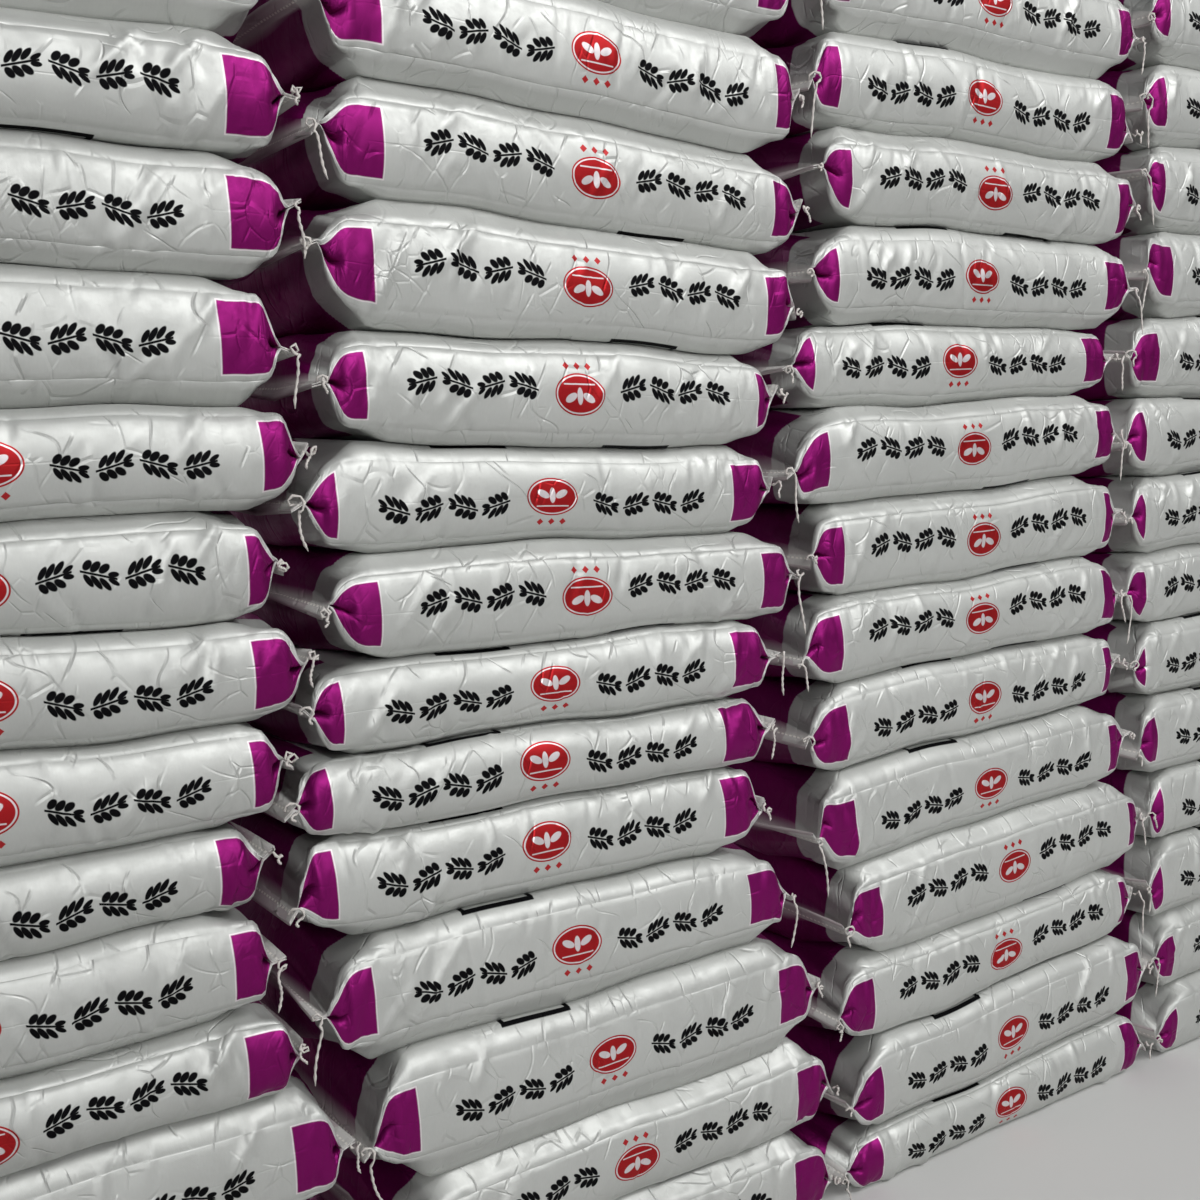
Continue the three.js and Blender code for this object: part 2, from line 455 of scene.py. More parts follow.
def normals_of(p):
    along = np.empty_like(p)
    along[1:-1] = p[2:] - p[:-2]
    along[0] = p[1] - p[0]
    along[-1] = p[-1] - p[-2]
    around = np.roll(p, -1, 1) - np.roll(p, 1, 1)
    n = np.cross(along, around)
    n /= np.linalg.norm(n, axis=-1, keepdims=True) + 1e-12
    return -n


def bump_field(core, rng):
    """Small folds and dents that the slack of the cloth starts from."""
    p = core["points"]
    u = p[..., 0]
    near = core["near"]
    v = core["cloth"] + np.zeros_like(u)
    field = np.zeros_like(u)
    slack = np.zeros_like(u)
    kinds = core["kinds"]
    left, right = u.min(), u.max()
    half = GUSSET / 2

    def fold(mask, u0, v0, reach, width, slant, height):
        nonlocal field, slack
        du = u - u0 - slant * (v - v0)
        along = np.exp(-(((v - v0) / reach) ** 4))
        field = field + mask * height * np.exp(-np.abs(du) / width) * along
        slack = slack + mask * 0.5 * np.exp(-((du / SLACK_WIDTH) ** 2)) * along

    for side in ("front", "back"):
        mask = (kinds == side)[None, :]
        for _ in range(SMALL_FOLDS):
            sign = 1 if rng.random() < SMALL_OUTWARD else SMALL_INWARD_DEPTH
            fold(
                mask,
                rng.uniform(left + FOLD_FROM_TIP, right - FOLD_FROM_TIP),
                rng.uniform(-half, half),
                rng.uniform(*SMALL_REACH),
                rng.uniform(*FOLD_WIDTH),
                rng.normal(0, SMALL_SLANT),
                rng.uniform(*SMALL_HEIGHT) * sign,
            )
        # long puckers that start at one of the creases
        for _ in range(PUCKERS):
            reach = rng.uniform(*PUCKER_REACH)
            start = rng.choice((-1, 1)) * half
            fold(
                mask,
                rng.uniform(left + PUCKER_FROM_TIP, right - PUCKER_FROM_TIP),
                start - math.copysign(reach * PUCKER_INWARD, start),
                reach,
                rng.uniform(*FOLD_WIDTH),
                rng.normal(0, PUCKER_SLANT),
                rng.uniform(*PUCKER_HEIGHT) * rng.choice((1, -1)),
            )
        # strong folds where the filling ends, many in pairs that meet in a V
        for _ in range(rng.integers(*V_FOLDS)):
            from_tip = rng.uniform(*V_FROM_TIP)
            at_left = rng.random() < V_AT_LEFT
            u0 = left + from_tip if at_left else right - from_tip
            v0 = rng.choice((-1, 1)) * rng.uniform(*V_OFF_MIDDLE)
            reach = rng.uniform(*V_REACH)
            slant = rng.uniform(*V_SLANT)
            depth = rng.uniform(*V_HEIGHT)
            fold(mask, u0, v0, reach, rng.uniform(*V_WIDTH), slant, depth)
            if rng.random() < V_PAIRED:
                pair_reach, pair_slant, pair_depth = (
                    share * value for share, value in zip(V_PAIR_SHARES, (reach, slant, depth))
                )
                fold(mask, u0 + V_PAIR_OFF, v0, pair_reach, V_WIDTH[0], pair_slant, pair_depth)
        for _ in range(DENTS):
            u0 = rng.uniform(left + DENT_FROM_TIP, right - DENT_FROM_TIP)
            v0 = rng.uniform(-half, half)
            radius = rng.uniform(*DENT_RADIUS)
            height = rng.uniform(*DENT_HEIGHT)
            field += mask * height * np.exp(-((u - u0) ** 2 + (v - v0) ** 2) / radius**2)
    # pleats that run out from the seam over the panels and lips
    y = p[..., 1]
    pleats = np.zeros_like(u)
    for _ in range(PLEATS):
        length = rng.uniform(*PLEAT_LENGTH)
        skew = rng.uniform(-PLEAT_SKEW, PLEAT_SKEW)
        phase = rng.uniform(0, FULL_TURN)
        pleat = np.abs(np.sin(math.pi * (y + skew * near) / length + phase))
        pleats += pleat - PLEAT_LEVEL
    fade = np.clip(1 - (near - HEM) / END_LOOSE, 0, 1)
    field = field + PLEAT_HEIGHT * pleats * fade * ~core["in_gusset"][None, :]
    crumple = rng.normal(0, 1, u.shape)
    for _ in range(2):
        crumple[1:-1] = (crumple[2:] + 2 * crumple[1:-1] + crumple[:-2]) / 4
        crumple = (np.roll(crumple, 1, 1) + 2 * crumple + np.roll(crumple, -1, 1)) / 4
    field = field + CRUMPLE_HEIGHT * crumple * fade
    return field, np.clip(slack, 0, 1)


def pull(p, a, b, rest, stiffness, only_short=False):
    """Moves each pair of points to its rest distance, or where told so only apart."""
    d = p[b] - p[a]
    length = np.sqrt(np.einsum("...i,...i", d, d)) + 1e-9
    gain = 0.5 * stiffness * (1 - rest / length)
    if only_short:
        gain = np.minimum(gain, 0)
    d *= gain[..., None]
    p[a] += d
    p[b] -= d


def pairs(nu, nv):
    """Disjoint sets of neighbours on the grid: along, round, both diagonals, every second one."""
    sl = slice
    every = sl(None)
    inner, last = sl(0, nv - 1), sl(nv - 1, nv)
    sets = []
    for first in (0, 1):
        n = (nu - first) // 2
        a_u = sl(first, first + 2 * n - 1, 2)
        b_u = sl(first + 1, first + 2 * n, 2)
        sets.append(("along", (a_u, every), (b_u, every)))
        sets.append(("cross", (a_u, inner), (b_u, sl(1, nv))))
        sets.append(("cross", (a_u, last), (b_u, sl(0, 1))))
        sets.append(("cross", (b_u, inner), (a_u, sl(1, nv))))
        sets.append(("cross", (b_u, last), (a_u, sl(0, 1))))
    sets.append(("round", (every, sl(0, nv, 2)), (every, sl(1, nv, 2))))
    sets.append(("round", (every, sl(1, nv - 1, 2)), (every, sl(2, nv, 2))))
    sets.append(("round", (every, last), (every, sl(0, 1))))
    for first in range(4):
        n = (nu - 3 - first) // 4 + 1
        a_u = sl(first, first + 4 * (n - 1) + 1, 4)
        b_u = sl(first + 2, first + 2 + 4 * (n - 1) + 1, 4)
        sets.append(("bend", (a_u, every), (b_u, every)))
    return sets


def drape(core, rng, top_open):
    """Cloth that is a little longer than its filling, drawn over it: returns its points."""
    c = core["points"].astype(np.float32)
    n = normals_of(core["points"]).astype(np.float32)
    field, slack = bump_field(core, rng)
    near, kinds = core["near"], core["kinds"]
    nu, nv = near.shape
    face = np.isin(kinds, ("front", "back"))[None, :] + np.zeros_like(near, bool)
    hold = np.clip((near - HEM) / SEAM_HOLD, 0, 1)
    lift = field * hold
    nearest = np.round(near[:, 0] / RIDGE_PIECE)
    for k, inner in zip(core["creases"], (1, -1, 1, -1)):
        strong = k in core["strong"]
        uneven = 1 + RIDGE_UNEVEN * np.sin(nearest * 2.1 + k)
        lift[:, k] += (RIDGE_STRONG * uneven if strong else RIDGE_FAINT) * hold[:, k]
        if strong:
            for step, valley in enumerate(VALLEYS, 1):
                beside = k + step * inner
                lift[:, beside] -= valley * hold[:, beside]
    start = c + n * lift[..., None].astype(np.float32)
    high = np.where(face, np.where(core["in_gusset"], HIGH_GUSSET, HIGH_STRIP), HIGH_PANEL)
    deep = np.where(face, DEEP_FACE, DEEP_PANEL)
    if top_open:
        on_top = (kinds == "top")[None, :] + np.zeros_like(near, bool)
        high = np.where(on_top, HIGH_TOP, high)
    end = np.clip(1 - (near - HEM) / END_LOOSE, 0, 1)
    high = (high + HIGH_END * end + np.maximum(lift, 0)).astype(np.float32)
    deep = (deep - DEEP_END * end + np.minimum(lift, 0)).astype(np.float32)
    ceiling = (core["top"] - CONTACT_CLEAR).astype(np.float32)
    floor = (core["low"] + CONTACT_CLEAR).astype(np.float32)
    start[..., 2] = np.clip(start[..., 2], floor, ceiling)
    sets = pairs(nu, nv)
    rests = []
    for kind, a, b in sets:
        d = np.linalg.norm(start[b] - start[a], axis=-1)
        extra = STRETCH[kind]
        if kind in ("along", "cross"):
            extra = extra + SLACK_STRETCH * (slack[a] + slack[b]) / 2
            extra = extra + END_STRETCH * (end[a] + end[b]) / 2
        rests.append((d * extra).astype(np.float32))
    p = start.copy()
    fixed = near < HEM + 0.001
    pinned = p[fixed].copy()
    for _ in range(ITERATIONS):
        for (kind, a, b), rest in zip(sets, rests):
            pull(p, a, b, rest, STIFFNESS[kind], only_short=kind == "bend")
        off = p - c
        d = np.einsum("...i,...i", off, n)
        side = off - n * d[..., None]
        p = c + side * SIDEWAYS_KEPT + n * np.clip(d, deep, high)[..., None]
        p[..., 2] = np.clip(p[..., 2], floor, ceiling)
        p[fixed] = pinned
    return p.astype(float)


def face_cloth(core, turned):
    """Panel number and cloth coordinates, in metres, at both edges of each ring of faces."""
    kinds, cloth = core["kinds"], core["cloth"]
    creases = core["creases"]
    flats = core["points"][len(core["points"]) // 2, :, 1]
    centre = (flats.max() + flats.min()) / 2
    rings = []
    nv = len(kinds)
    for k in range(nv):
        j = (k + 1) % nv
        if k < creases[0] or k >= creases[3]:
            rings.append((0, cloth[k], cloth[j] if j else 0.0))
        elif k < creases[1]:
            rings.append((1, flats[k] - centre, flats[j] - centre))
        elif k < creases[2]:
            rings.append((2, cloth[k], cloth[j]))
        else:
            rings.append((3, flats[k] - centre, flats[j] - centre))
    if turned:
        swap = {0: 0, 1: 3, 2: 2, 3: 1}
        rings = [(swap[r], -a, -b) if r in (0, 2) else (swap[r], a, b) for r, a, b in rings]
    return rings


def sack_mesh(name, points, rings, u_of, core, material):
    nu, nv = points.shape[:2]
    faces = []

    def index(i, k):
        return i * nv + k % nv

    for i in range(nu - 1):
        for k in range(nv):
            faces.append((index(i, k), index(i, k + 1), index(i + 1, k + 1), index(i + 1, k)))
    for i, flip in ((0, True), (nu - 1, False)):
        for k in range(nv // 2):
            loop = [index(i, k), index(i, k + 1), index(i, nv - k - 1), index(i, nv - k)]
            loop = list(dict.fromkeys(loop))
            faces.append(tuple(loop[::-1] if flip else loop))
    mesh = bpy.data.meshes.new(name)
    mesh.from_pydata(points.reshape(-1, 3).tolist(), [], faces)
    panel = np.array([ring[0] for ring in rings], float)
    low = panel + np.array([ring[1] for ring in rings])
    high = panel + np.array([ring[2] for ring in rings])
    near = core["near"]
    y = core["points"][..., 1]
    corners = ((0, 0, low), (0, 1, high), (1, 1, high), (1, 0, low))
    maps = {"cloth": np.empty((nu - 1, nv, 4, 2)), "seam": np.empty((nu - 1, nv, 4, 2))}
    for corner, (i, k, v_of) in enumerate(corners):
        across = np.roll(y, -k, 1)
        maps["cloth"][:, :, corner, 0] = u_of[i : nu - 1 + i, None]
        maps["cloth"][:, :, corner, 1] = v_of
        maps["seam"][:, :, corner, 0] = near[i : nu - 1 + i, :]
        maps["seam"][:, :, corner, 1] = across[i : nu - 1 + i, :]
    # the faces that close both tips take one place on the film, at the very tip
    tips = {"cloth": (0.4, 1.0), "seam": (0.0, 0.0)}
    for title, grid in maps.items():
        layer = mesh.uv_layers.new(name=title)
        flat = grid.reshape(-1, 2)
        rest = np.tile(tips[title], (len(mesh.loops) - len(flat), 1))
        layer.data.foreach_set("uv", np.concatenate([flat, rest]).ravel())
    mesh.polygons.foreach_set("use_smooth", [True] * len(mesh.polygons))
    mesh.update()
    ends = np.empty(2 * len(mesh.edges), int)
    mesh.edges.foreach_get("vertices", ends)
    ends = ends.reshape(-1, 2)
    row = ends % nv
    in_mouth = core["mouth"][ends[:, 0] // nv] & np.isin(row[:, 0], core["roots"])
    on_crease = (row[:, 0] == row[:, 1]) & (np.isin(row[:, 0], core["strong"]) | in_mouth)
    sharp = mesh.attributes.new("sharp_edge", "BOOLEAN", "EDGE")
    sharp.data.foreach_set("value", on_crease)
    mesh.materials.append(material)
    piece = bpy.data.objects.new(name, mesh)
    bpy.context.scene.collection.objects.link(piece)
    return piece


# Node helpers


class Value:
    """A number in a node tree that can be summed, multiplied and compared."""

    tree = None

    def __init__(self, source):
        self.source = source

    @staticmethod
    def math(kind, *inputs, clamp=False):
        node = Value.tree.nodes.new("ShaderNodeMath")
        node.operation = kind
        node.use_clamp = clamp
        for socket, value in zip(node.inputs, inputs):
            if isinstance(value, Value):
                Value.tree.links.new(value.source, socket)
            else:
                socket.default_value = value
        return Value(node.outputs[0])

    def __add__(self, other):
        return Value.math("ADD", self, other)

    __radd__ = __add__

    def __sub__(self, other):
        return Value.math("SUBTRACT", self, other)

    def __rsub__(self, other):
        return Value.math("SUBTRACT", other, self)

    def __mul__(self, other):
        return Value.math("MULTIPLY", self, other)

    __rmul__ = __mul__

    def __truediv__(self, other):
        return Value.math("DIVIDE", self, other)

    def __abs__(self):
        return Value.math("ABSOLUTE", self)

    def above(self, edge, soft):
        """0 below the edge and 1 above it, with a soft step."""
        return Value.math("MULTIPLY_ADD", self, 1 / soft, 0.5 - edge / soft, clamp=True)

    def below(self, edge, soft):
        """1 below the edge and 0 above it, with a soft step."""
        return Value.math("MULTIPLY_ADD", self, -1 / soft, 0.5 + edge / soft, clamp=True)

    def most(self, other):
        return Value.math("MAXIMUM", self, other)


def ellipse(x, y, centre, size, angle, soft=0.12):
    """1 inside a turned ellipse."""
    cos, sin = math.cos(angle), math.sin(angle)
    dx, dy = x - centre[0], y - centre[1]
    a = (dx * cos + dy * sin) / size[0]
    b = (dy * cos - dx * sin) / size[1]
    return (a * a + b * b).below(1, soft * 2)


def mix(share, first, second):
    node = Value.tree.nodes.new("ShaderNodeMix")
    node.data_type = "RGBA"
    Value.tree.links.new(share.source, node.inputs[0])
    for socket, value in ((node.inputs[6], first), (node.inputs[7], second)):
        if isinstance(value, bpy.types.NodeSocket):
            Value.tree.links.new(value, socket)
        else:
            socket.default_value = (*value, 1)
    return node.outputs[2]


def noise(vector, scale, detail, roughness=0.5, flat=False):
    node = Value.tree.nodes.new("ShaderNodeTexNoise")
    node.noise_dimensions = "2D" if flat else "3D"
    node.inputs["Scale"].default_value = scale
    node.inputs["Detail"].default_value = detail
    node.inputs["Roughness"].default_value = roughness
    Value.tree.links.new(vector, node.inputs["Vector"])
    return Value(node.outputs["Fac"])


def stretched(vector, scale):
    node = Value.tree.nodes.new("ShaderNodeMapping")
    node.inputs["Scale"].default_value = scale
    Value.tree.links.new(vector, node.inputs["Vector"])
    return node.outputs[0]


def crackle(vector, warp_by):
    """Distance to the edges of straight-sided cells, bent a little by another value."""
    tree = Value.tree
    shifted = tree.nodes.new("ShaderNodeVectorMath")
    shifted.operation = "ADD"
    tree.links.new(vector, shifted.inputs[0])
    tree.links.new((warp_by * 1.2).source, shifted.inputs[1])
    node = tree.nodes.new("ShaderNodeTexVoronoi")
    node.feature = "DISTANCE_TO_EDGE"
    node.voronoi_dimensions = "2D"
    node.inputs["Scale"].default_value = 1
    tree.links.new(shifted.outputs[0], node.inputs["Vector"])
    return Value(node.outputs["Distance"])


def split_map(name):
    """Both coordinates of a UV map, and the map as a vector."""
    tree = Value.tree
    uv = tree.nodes.new("ShaderNodeUVMap")
    uv.uv_map = name
    split = tree.nodes.new("ShaderNodeSeparateXYZ")
    tree.links.new(uv.outputs[0], split.inputs[0])
    return Value(split.outputs[0]), Value(split.outputs[1]), uv.outputs[0]


def set_bump(height, strength, shader):
    tree = Value.tree
    bump = tree.nodes.new("ShaderNodeBump")
    bump.inputs["Strength"].default_value = strength
    bump.inputs["Distance"].default_value = 1.0
    tree.links.new(height.source, bump.inputs["Height"])
    tree.links.new(bump.outputs[0], shader.inputs["Normal"])


# Woven film and its print

SILVER = (0.56, 0.57, 0.55)
SILVER_DULL = (0.45, 0.46, 0.44)
MAGENTA = (0.22, 0.002, 0.125)
BLACK = (0.004, 0.004, 0.005)
RED = (0.42, 0.012, 0.016)
PALE = (0.78, 0.72, 0.74)
SEWN_STRIP = (0.60, 0.58, 0.56)
STITCH = (0.80, 0.77, 0.72)
# Magenta areas: where they begin from the print's middle, and half their height, in metres
PATCH = (0.296, 0.041)
RIM = (0.2942, 0.0428)
BAND = (0.285, 0.138)
# Ears of grain: first one and pitch along the sack and drop in metres, then sizes in mm
EARS = 4
EAR_START = 0.0585
EAR_PITCH = 0.047
EAR_DROP = 0.008
EAR_LENGTH = 51
EAR_LEAN = 0.5
STEM = (21, 1.3)
GRAINS = ((-12, 7.6, 0.85), (-3, 8.6, 0.8), (7, 8.2, 0.7))
GRAIN_OFF_STEM = 8.2
GRAIN_HALF = 3.9
END_GRAIN = ((17, 3.9), (6.6, 3.0), 0.3)
GRAIN_EDGE = 0.2
# Badge: half sizes in mm, and centre, half size and turn of each seed
BADGE_RISE = 0.001
BADGE = (38, 26)
RING_OUTSIDE = (36, 24)
RING_INSIDE = (34, 22.2)
BADGE_EDGE = 0.02
SIDE_SEED = ((13.5, 4), (9.5, 4.8), 0.45)
MIDDLE_SEED = ((0, 2), (4.4, 10.5), 0)
BAR_DROP = 12.5
BAR = (24, 0.9)
DIAMOND_DROP = 35
DIAMOND_PITCH = 17
DIAMOND_HALF = 5
# Empty outlined box on the upper panel, in metres: middle, half size outside and inside
BOX_MIDDLE = (-0.103, 0.168)
BOX_OUTSIDE = (0.054, 0.021)
BOX_INSIDE = (0.047, 0.014)
# Chain stitch on the sewn strip
STITCH_FROM_TIP = 0.011
STITCH_HALF = 0.0014
STITCH_PITCH = 0.009
STITCH_HEIGHT = 0.0006
STRIP_END = 0.019
# Gloss of the film, and what wear, ink, colour and the sewn strip add to it
FILM_ROUGHNESS = 0.47
WORN_ROUGHNESS = 0.14
INK_ROUGHNESS = 0.2
STRIP_ROUGHNESS = 0.2
FILM_METAL = 0.44
INK_METAL = 0.45
COLOUR_METAL = 0.34
# Relief of the film, in metres
RIB_PITCH = 0.0024
RIB_HEIGHT = 0.00002
FOLD_LINE_HEIGHT = 0.0006
DENT_RELIEF = 0.002
CRUMPLE_RELIEF = 0.0007
FILM_BUMP = 0.7
# Layers of sharp little creases: cells along and across, width, height, size of the patches
# that show them, how few show, and how many at the hem
CREASE_LAYERS = (
    ((13, 9, 1), 0.014, 0.0014, 24, 0.52, 0),
    ((26, 18, 1), 0.028, 0.0011, 20, 0.57, 0),
    ((58, 44, 1), 0.05, 0.0006, 12, 0.69, 0.6),
)


def grain_print(far, v):
    """Lying ears of grain on both sides of the badge."""
    step = (far - EAR_START) / EAR_PITCH
    number = Value.math("FLOOR", step)
    along = (step - number - 0.5) * EAR_LENGTH
    lean = (Value.math("MODULO", number, 2.0) - 0.5) * EAR_LEAN
    stem = abs((v + EAR_DROP) * 1000 - along * lean)
    sprig = stem.below(STEM[1], 0.7) * abs(along).below(STEM[0], 1)
    for place, size, turn in GRAINS:
        grain = ellipse(
            along, stem, (place, GRAIN_OFF_STEM), (size, GRAIN_HALF), turn, GRAIN_EDGE
        )
        sprig = sprig.most(grain)
    sprig = sprig.most(ellipse(along, stem, *END_GRAIN, GRAIN_EDGE))
    return sprig * number.above(-0.5, 0.1) * number.below(EARS - 0.5, 0.1)


def badge_print(u, v):
    """Round badge, its pale ring with seeds and a bar, and small diamonds under it."""
    mx, my = u * 1000, (v - BADGE_RISE) * 1000
    badge = ellipse(mx, my, (0, 0), BADGE, 0, BADGE_EDGE)
    ring = ellipse(mx, my, (0, 0), RING_OUTSIDE, 0, BADGE_EDGE)
    ring = ring - ellipse(mx, my, (0, 0), RING_INSIDE, 0, BADGE_EDGE)
    seeds = ellipse(abs(mx), my, *SIDE_SEED)
    seeds = seeds.most(ellipse(mx, my, *MIDDLE_SEED))
    seeds = seeds.most(abs(my + BAR_DROP).below(BAR[1], 0.5) * abs(mx).below(BAR[0], 1))
    low = abs(my + DIAMOND_DROP)
    spot = (abs(abs(mx) - DIAMOND_PITCH) + low).below(DIAMOND_HALF, 0.8)
    spot = spot.most((abs(mx) + low).below(DIAMOND_HALF, 0.8))
    return badge, ring, seeds, spot


def printed_film():
    material = bpy.data.materials.new("woven_film")
    material.use_nodes = True
    tree = material.node_tree
    tree.nodes.clear()
    Value.tree = tree
    out = tree.nodes.new("ShaderNodeOutputMaterial")
    shader = tree.nodes.new("ShaderNodeBsdfPrincipled")
    tree.links.new(shader.outputs[0], out.inputs[0])
    u, code, cloth_place = split_map("cloth")
    depth, along_seam, _ = split_map("seam")
    place = tree.nodes.new("ShaderNodeTexCoord").outputs["Object"]
    panel = Value.math("ROUND", code)
    v = code - panel
    on_panel = Value.math("MODULO", panel, 2.0).above(0.5, 0.1)
    gusset = 1 - on_panel
    far = abs(u)
    tall = abs(v)

    # magenta ends: a patch with a pale rim on the gusset, a band on the panels
    patch = far.above(PATCH[0], 0.0012) * tall.below(PATCH[1], 0.0012) * gusset
    rim = far.above(RIM[0], 0.001) * tall.below(RIM[1], 0.001) * gusset
    band = far.above(BAND[0], 0.0015) * tall.below(BAND[1], 0.002) * on_panel
    ends = patch.most(band)

    sprig = grain_print(far, v) * gusset
    badge, ring, seeds, spot = (part * gusset for part in badge_print(u, v))

    # empty outlined box near one edge of the upper panel
    upper = Value.math("COMPARE", panel, 1.0, 0.5)
    across, inward = abs(u - BOX_MIDDLE[0]), abs(BOX_MIDDLE[1] - tall)
    outer = across.below(BOX_OUTSIDE[0], 0.001) * inward.below(BOX_OUTSIDE[1], 0.001)
    inner = across.below(BOX_INSIDE[0], 0.001) * inward.below(BOX_INSIDE[1], 0.001)
    box = (outer - inner) * upper

    # colours, with the chain stitch along the hem
    cloud = noise(place, scale=5, detail=3).above(0.5, 0.5)
    fleck = noise(stretched(cloth_place, (420, 130, 1)), 1, detail=1, roughness=0.6, flat=True)
    colour = mix(cloud * 0.4 + fleck * 0.25, SILVER, SILVER_DULL)
    colour = mix(rim, colour, PALE)
    colour = mix(ends, colour, MAGENTA)
    colour = mix(badge, colour, RED)
    colour = mix(ring.most(seeds), colour, PALE)
    colour = mix(spot, colour, RED)
    ink = sprig.most(box)
    colour = mix(ink, colour, BLACK)
    stitch = abs(depth - STITCH_FROM_TIP).below(STITCH_HALF, 0.0008)
    turns = Value.math("SINE", along_seam * (FULL_TURN / STITCH_PITCH))
    stitch = stitch * turns.above(-0.3, 0.5)
    strip = depth.below(STRIP_END, 0.002)
    colour = mix(strip * 0.8, colour, SEWN_STRIP)
    colour = mix(stitch, colour, STITCH)
    tree.links.new(colour, shader.inputs["Base Color"])

    # satin gloss, less on the ink and the sewn strip, worn in places
    worn = noise(place, scale=38, detail=4, roughness=0.65).above(0.56, 0.3)
    rough = FILM_ROUGHNESS + worn * WORN_ROUGHNESS + ink * INK_ROUGHNESS
    rough = rough + strip * STRIP_ROUGHNESS
    tree.links.new(rough.source, shader.inputs["Roughness"])
    metal = (1 - strip) * FILM_METAL + ink * INK_METAL + (ends + badge) * COLOUR_METAL
    tree.links.new(metal.source, shader.inputs["Metallic"])
    shader.inputs["Specular IOR Level"].default_value = 0.5

    # weave ribs, faint folds in the middle and at the edges of the gusset
    warp = Value.math("SINE", u * (FULL_TURN / RIB_PITCH))
    weft = Value.math("SINE", v * (FULL_TURN / RIB_PITCH))
    height = (warp * weft) * RIB_HEIGHT + stitch * STITCH_HEIGHT
    folds = tall.below(0.0008, 0.0012) * 0.5
    folds = folds + abs(tall - GUSSET / 2).below(0.001, 0.0014)
    shown = noise(place, scale=7, detail=1).above(0.5, 0.2)
    height = height + folds * shown * gusset * FOLD_LINE_HEIGHT

    # sharp little creases that mostly run round the sack, soft dents and fine crumple
    warp_by = noise(stretched(cloth_place, (9, 9, 1)), 1, detail=1, flat=True)
    by_hem = depth.below(0.055, 0.06)
    for cells, width, size, where, cut, hem_share in CREASE_LAYERS:
        line = crackle(stretched(cloth_place, cells), warp_by).below(width, 2 * width)
        shown = noise(place, where, detail=1).above(cut, 0.1)
        if hem_share:
            shown = shown.most(by_hem * hem_share)
        height = height + line * shown * size
    dents = noise(stretched(cloth_place, (20, 9, 1)), 1, detail=1, flat=True)
    height = height + dents * DENT_RELIEF
    patchy = noise(place, scale=9, detail=2).above(0.5, 0.2)
    crumple = abs(noise(place, scale=75, detail=3, roughness=0.6) - 0.5)
    height = height + crumple * patchy * CRUMPLE_RELIEF
    set_bump(height, FILM_BUMP, shader)
    return material


# Sewing thread

TAIL_RINGS = 20
THREAD_SIDES = 4
THREAD = (0.74, 0.71, 0.66)
THREAD_DULL = (0.50, 0.47, 0.45)
# Lengths of the hanging tails and size of the loop before them, in metres
LONG_TAIL = (0.035, 0.09)
SHORT_TAIL = (0.006, 0.024)
LONG_TAILS = 0.4
LOOP_RADIUS = (0.003, 0.007)
LOOP_TURNS = (0.8, 2.2)
LOOP_OFF_SEAM = 0.004
# Shares of the tail: where the loop ends, and where it starts to sway, fall and reach the front
LOOP_END = 0.4
SWAY_START = 0.35
FALL_START = 0.25
AT_FRONT = 0.3
SWAY = 0.35
WIGGLE_SIDEWAYS = 0.0025
WIGGLE_FORWARD = 0.0012
THREAD_ROUGHNESS = 0.85
THREAD_BUMP = 0.6
FIBRE_RELIEF = 0.0004
# Radii of the chain stitch: its knobs, the links between them, and its last end
KNOB, LINK, TAIL_END = 0.0022, 0.0012, 0.0006
TAIL_OFF_FLOOR = 0.003


def thread_tail(start, outward, forward, front_most, rng):
    """Knobbly end of the chain stitch: a loop at the hem corner, then a hanging tail."""
    tail = LONG_TAIL if rng.random() < LONG_TAILS else SHORT_TAIL
    length = rng.uniform(*tail)
    loop = rng.uniform(*LOOP_RADIUS)
    turns = rng.uniform(*LOOP_TURNS)
    sway = rng.uniform(-SWAY, SWAY)
    curl = rng.uniform(0, FULL_TURN)
    s = np.linspace(0, 1, TAIL_RINGS)
    swirl = np.clip(s / LOOP_END, 0, 1)
    angle = curl + swirl * turns * 2 * math.pi
    fade = 1 - 0.6 * s
    x = start[0] + outward * (LOOP_OFF_SEAM + loop * (np.cos(angle) - math.cos(curl)) * fade)
    x = x + sway * length * np.clip(s - SWAY_START, 0, 1)
    x = x + WIGGLE_SIDEWAYS * np.sin(s * 9 + curl)
    fall = length * np.clip(s - FALL_START, 0, 1) / (1 - FALL_START)
    z = start[2] + loop * (np.sin(angle) - math.sin(curl)) * fade - fall
    y = start[1] + (front_most - start[1]) * np.clip(s / AT_FRONT, 0, 1)
    y = y + forward * WIGGLE_FORWARD * (1 + np.sin(s * 13 + curl))
    path = np.stack([x, y, np.maximum(z, TAIL_OFF_FLOOR)], -1)
    along = np.gradient(path, axis=0)
    along /= np.linalg.norm(along, axis=1, keepdims=True)
    side = np.cross(along, (0.3, 0.9, 0.2))
    side /= np.linalg.norm(side, axis=1, keepdims=True)
    up = np.cross(side, along)
    radius = np.where(np.arange(TAIL_RINGS) % 2, KNOB, LINK)
    radius[-1] = TAIL_END
    turn = np.arange(THREAD_SIDES) * 2 * math.pi / THREAD_SIDES
    ring = np.cos(turn)[None, :, None] * side[:, None] + np.sin(turn)[None, :, None] * up[:, None]
    return path[:, None] + ring * radius[:, None, None]


def thread_material():
    material = bpy.data.materials.new("sewing_thread")
    material.use_nodes = True
    tree = material.node_tree
    Value.tree = tree
    shader = tree.nodes["Principled BSDF"]
    place = tree.nodes.new("ShaderNodeTexCoord").outputs["Object"]
    tone = noise(place, scale=160, detail=3, roughness=0.6)
    tree.links.new(mix(tone, THREAD, THREAD_DULL), shader.inputs["Base Color"])
    shader.inputs["Roughness"].default_value = THREAD_ROUGHNESS
    fibre = noise(stretched(place, (1, 1, 0.4)), scale=1800, detail=2)
    set_bump(fibre * FIBRE_RELIEF, THREAD_BUMP, shader)
    return material


